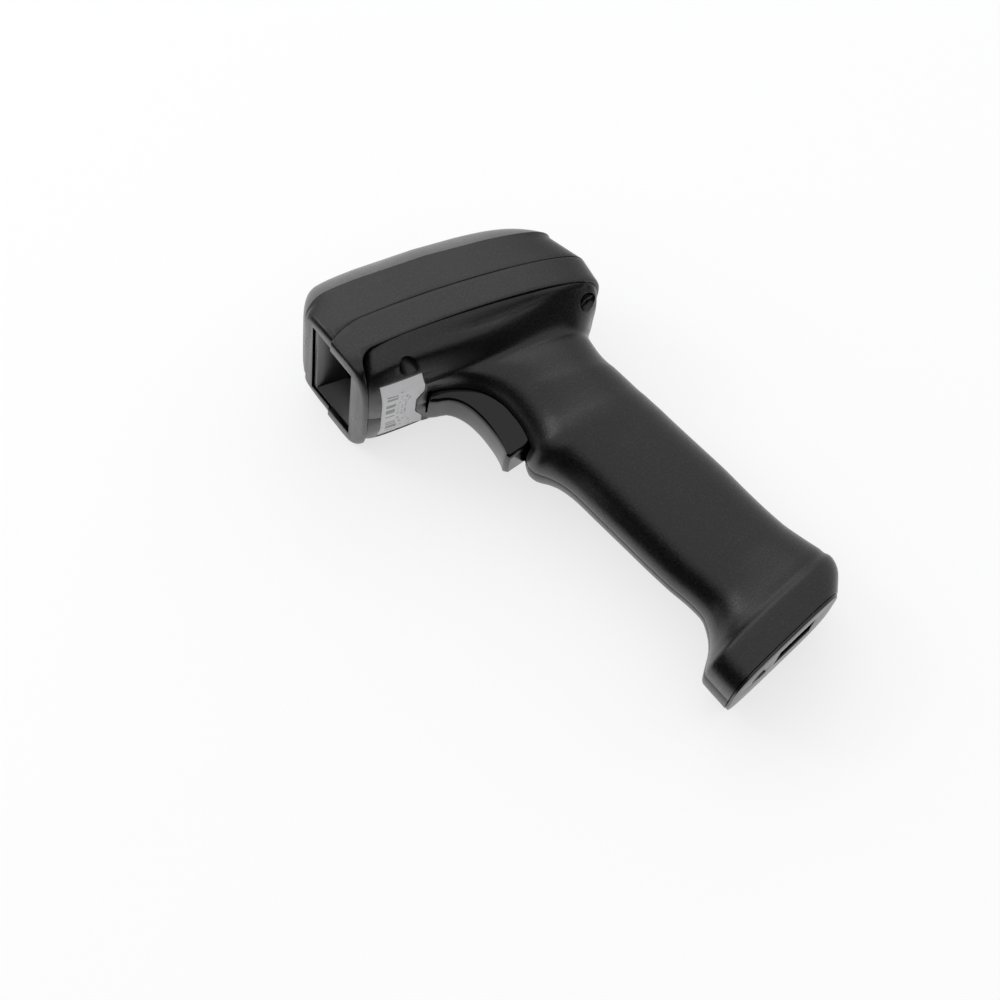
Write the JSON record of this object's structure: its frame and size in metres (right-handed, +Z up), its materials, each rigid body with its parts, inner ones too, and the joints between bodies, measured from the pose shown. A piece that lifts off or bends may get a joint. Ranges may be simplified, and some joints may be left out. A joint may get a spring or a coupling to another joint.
{
  "type": "hand-held barcode scanner",
  "caption": "Pistol-grip corded barcode scanner, black plastic, with a hooded head, curved trigger, flared foot with a cable socket, and its inner parts.",
  "frame": {"origin": "centre of the cable port's mouth in the foot's lower face", "axes": "+Z up as the scanner lies on its right side, +Y along the grip towards the head, +X towards the back of the head, away from the scan window"},
  "size_m": [0.0882, 0.1883, 0.0634],
  "materials": {
    "shell": "fine matte grain",
    "trigger_gloss": "gloss",
    "screw_steel": "satin",
    "part_black": "satin",
    "plunger_red": "satin",
    "window": "clear tint",
    "lens_glass": "polished",
    "board_green": "satin",
    "lamp_white": "gloss",
    "light_pipe": "frosted",
    "contact_gold": "bright",
    "ribbon_white": "satin"
  },
  "bodies": {
    "housing": {"top_cover": "shell", "bezel_band": "shell", "body_left": "shell", "body_right": "shell", "base_cap": "shell", "case_screws": "screw_steel", "base_screw": "screw_steel", "trigger_pin": "screw_steel", "trigger_spring": "screw_steel", "trigger_switch": "part_black", "nose_liner": "shell", "scan_window": "window", "optics_chassis": "part_black", "lens_barrel": "part_black", "lens": "lens_glass", "engine_board": "board_green", "sensor_chip": "part_black", "light_board": "board_green", "light_leds": "lamp_white", "indicator_lens": "light_pipe", "main_board": "board_green", "decoder_chip": "part_black", "beeper": "part_black", "board_screws": "screw_steel", "cable_jack": "part_black", "jack_contacts": "contact_gold", "ribbon_cable": "ribbon_white"},
    "trigger_lever": {"trigger": "trigger_gloss"},
    "plunger": {"switch_plunger": "plunger_red"}
  },
  "joints": [
    {"name": "trigger_hinge", "type": "hinge", "parent": "housing", "child": "trigger_lever", "pos_m": [-0.03418, 0.13753, 0.01119], "axis": [0.02, -0.0761, 0.9969], "range_deg": [0, 3.5], "stiffness_Nm_per_rad": 0.5, "springref_deg": -3.44},
    {"name": "plunger_slide", "type": "slide", "parent": "housing", "child": "plunger", "axis": [0.9998, 0, -0.0201], "range_m": [0, 0.0018]}
  ],
  "couplings": [
    {"joint": "plunger_slide", "follows": "trigger_hinge", "m_per_rad": 0.0273}
  ]
}
